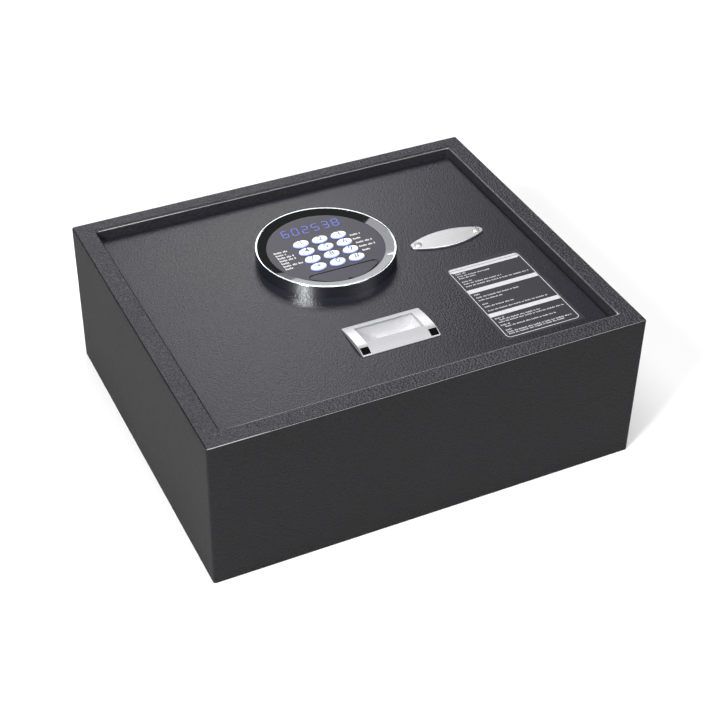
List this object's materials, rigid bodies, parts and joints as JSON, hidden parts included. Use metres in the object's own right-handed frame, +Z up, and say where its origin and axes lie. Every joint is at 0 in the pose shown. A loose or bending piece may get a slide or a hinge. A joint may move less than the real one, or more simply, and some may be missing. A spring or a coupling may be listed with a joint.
{
  "type": "drawer safe",
  "caption": "Low steel safe for a drawer, with a recessed lid that opens upward, round keypad, pull handle, override key plate and sliding bolts driven by rack and pinion.",
  "frame": {"origin": "middle of the underside, on the surface that the safe stands on", "axes": "+X to the right along the front, +Y towards the hinges at the back, +Z up"},
  "size_m": [0.4, 0.34, 0.1491],
  "materials": {
    "case_paint": "textured charcoal powder coat",
    "lid_paint": "textured charcoal powder coat, a shade lighter",
    "carpet": "needle felt carpet",
    "zinc_steel": "zinc plated",
    "bright_steel": "turned bright steel",
    "spring_steel": "phosphated",
    "rubber_black": "moulded rubber",
    "chrome": "polished chrome plating",
    "satin_chrome": "satin chrome plating",
    "black_plastic": "moulded ABS",
    "gloss_black": "polished black plastic",
    "fascia_plastic": "satin smoked plastic",
    "display_glass": "smoked window with lit blue figures",
    "display_white": "display body",
    "board_green": "solder mask",
    "silicone_grey": "silicone",
    "key_white": "translucent white, lit from behind",
    "brushed_silver": "brushed",
    "label_film": "clear film with white print",
    "pan_grey": "satin powder coat",
    "guide_steel": "milled steel",
    "guide_plastic": "acetal",
    "motor_can": "drawn can",
    "lock_brass": "machined",
    "cell_wrap": "plain battery sleeve"
  },
  "bodies": {
    "case": {"body_shell": "case_paint", "base_plate": "case_paint", "floor_mat": "carpet", "hinge_brackets": "zinc_steel", "hinge_pins": "bright_steel", "hinge_clips": "spring_steel", "lid_rest_tabs": "case_paint", "lid_buffers": "rubber_black"},
    "lid": {"lid_plate": "lid_paint", "hinge_ears": "lid_paint", "bezel_ring": "chrome", "keypad_base": "black_plastic", "keypad_nuts": "zinc_steel", "fascia": "fascia_plastic", "display_window": "display_glass", "display_module": "display_white", "keypad_board": "board_green", "key_mat": "silicone_grey", "service_port": "black_plastic", "handle_frame": "chrome", "handle_cup": "satin_chrome", "handle_lip": "satin_chrome", "handle_inserts": "gloss_black", "handle_screws": "zinc_steel", "cover_plate": "brushed_silver", "cover_plate_screws": "chrome", "use_label": "label_film", "lock_cover": "pan_grey", "lock_cover_screws": "zinc_steel", "bolt_guides": "guide_steel", "arm_guide": "guide_plastic", "gear_motor": "motor_can", "motor_bracket": "zinc_steel", "inner_screws": "zinc_steel", "override_cylinder": "lock_brass", "override_nut": "zinc_steel", "battery_holder": "black_plastic", "batteries": "cell_wrap", "battery_door": "pan_grey", "control_board": "board_green"},
    "bolt_work": {"bolt_bar": "bright_steel", "bolts": "bright_steel", "bolt_nuts": "zinc_steel"},
    "motor_pinion": {"drive_pinion": "lock_brass"},
    "override": {"override_plug": "lock_brass", "override_pinion": "lock_brass"},
    "port_cover": {"port_cover": "fascia_plastic"},
    "key_1": {"key_1": "key_white"},
    "key_2": {"key_2": "key_white"},
    "key_3": {"key_3": "key_white"},
    "key_4": {"key_4": "key_white"},
    "key_5": {"key_5": "key_white"},
    "key_6": {"key_6": "key_white"},
    "key_7": {"key_7": "key_white"},
    "key_8": {"key_8": "key_white"},
    "key_9": {"key_9": "key_white"},
    "key_star": {"key_star": "key_white"},
    "key_0": {"key_0": "key_white"},
    "key_hash": {"key_hash": "key_white"}
  },
  "joints": [
    {"name": "lid_hinge", "type": "hinge", "parent": "case", "child": "lid", "pos_m": [0, 0.125, 0.126], "axis": [-1, 0, 0], "range_deg": [0, 95]},
    {"name": "bolt_slide", "type": "slide", "parent": "lid", "child": "bolt_work", "axis": [0, -1, 0], "range_m": [0, 0.015]},
    {"name": "motor_spin", "type": "hinge", "parent": "lid", "child": "motor_pinion", "pos_m": [0.077, -0.005, 0.122], "axis": [0, 0, -1], "range_deg": [0, 96]},
    {"name": "override_turn", "type": "hinge", "parent": "lid", "child": "override", "pos_m": [0.11, 0.02, 0.122], "axis": [0, 0, 1], "range_deg": [0, 91]},
    {"name": "port_cover_hinge", "type": "hinge", "parent": "lid", "child": "port_cover", "pos_m": [-0.003, 0.00435, 0.14605], "axis": [-1, 0, 0], "range_deg": [0, 95]},
    {"name": "key_1_press", "type": "slide", "parent": "lid", "child": "key_1", "axis": [0, 0, -1], "range_m": [0, 0.001], "stiffness_N_per_m": 800},
    {"name": "key_2_press", "type": "slide", "parent": "lid", "child": "key_2", "axis": [0, 0, -1], "range_m": [0, 0.001], "stiffness_N_per_m": 800},
    {"name": "key_3_press", "type": "slide", "parent": "lid", "child": "key_3", "axis": [0, 0, -1], "range_m": [0, 0.001], "stiffness_N_per_m": 800},
    {"name": "key_4_press", "type": "slide", "parent": "lid", "child": "key_4", "axis": [0, 0, -1], "range_m": [0, 0.001], "stiffness_N_per_m": 800},
    {"name": "key_5_press", "type": "slide", "parent": "lid", "child": "key_5", "axis": [0, 0, -1], "range_m": [0, 0.001], "stiffness_N_per_m": 800},
    {"name": "key_6_press", "type": "slide", "parent": "lid", "child": "key_6", "axis": [0, 0, -1], "range_m": [0, 0.001], "stiffness_N_per_m": 800},
    {"name": "key_7_press", "type": "slide", "parent": "lid", "child": "key_7", "axis": [0, 0, -1], "range_m": [0, 0.001], "stiffness_N_per_m": 800},
    {"name": "key_8_press", "type": "slide", "parent": "lid", "child": "key_8", "axis": [0, 0, -1], "range_m": [0, 0.001], "stiffness_N_per_m": 800},
    {"name": "key_9_press", "type": "slide", "parent": "lid", "child": "key_9", "axis": [0, 0, -1], "range_m": [0, 0.001], "stiffness_N_per_m": 800},
    {"name": "key_star_press", "type": "slide", "parent": "lid", "child": "key_star", "axis": [0, 0, -1], "range_m": [0, 0.001], "stiffness_N_per_m": 800},
    {"name": "key_0_press", "type": "slide", "parent": "lid", "child": "key_0", "axis": [0, 0, -1], "range_m": [0, 0.001], "stiffness_N_per_m": 800},
    {"name": "key_hash_press", "type": "slide", "parent": "lid", "child": "key_hash", "axis": [0, 0, -1], "range_m": [0, 0.001], "stiffness_N_per_m": 800}
  ],
  "couplings": [
    {"joint": "motor_spin", "follows": "bolt_slide", "rad_per_m": 111.11},
    {"joint": "override_turn", "follows": "bolt_slide", "rad_per_m": 105.26}
  ]
}
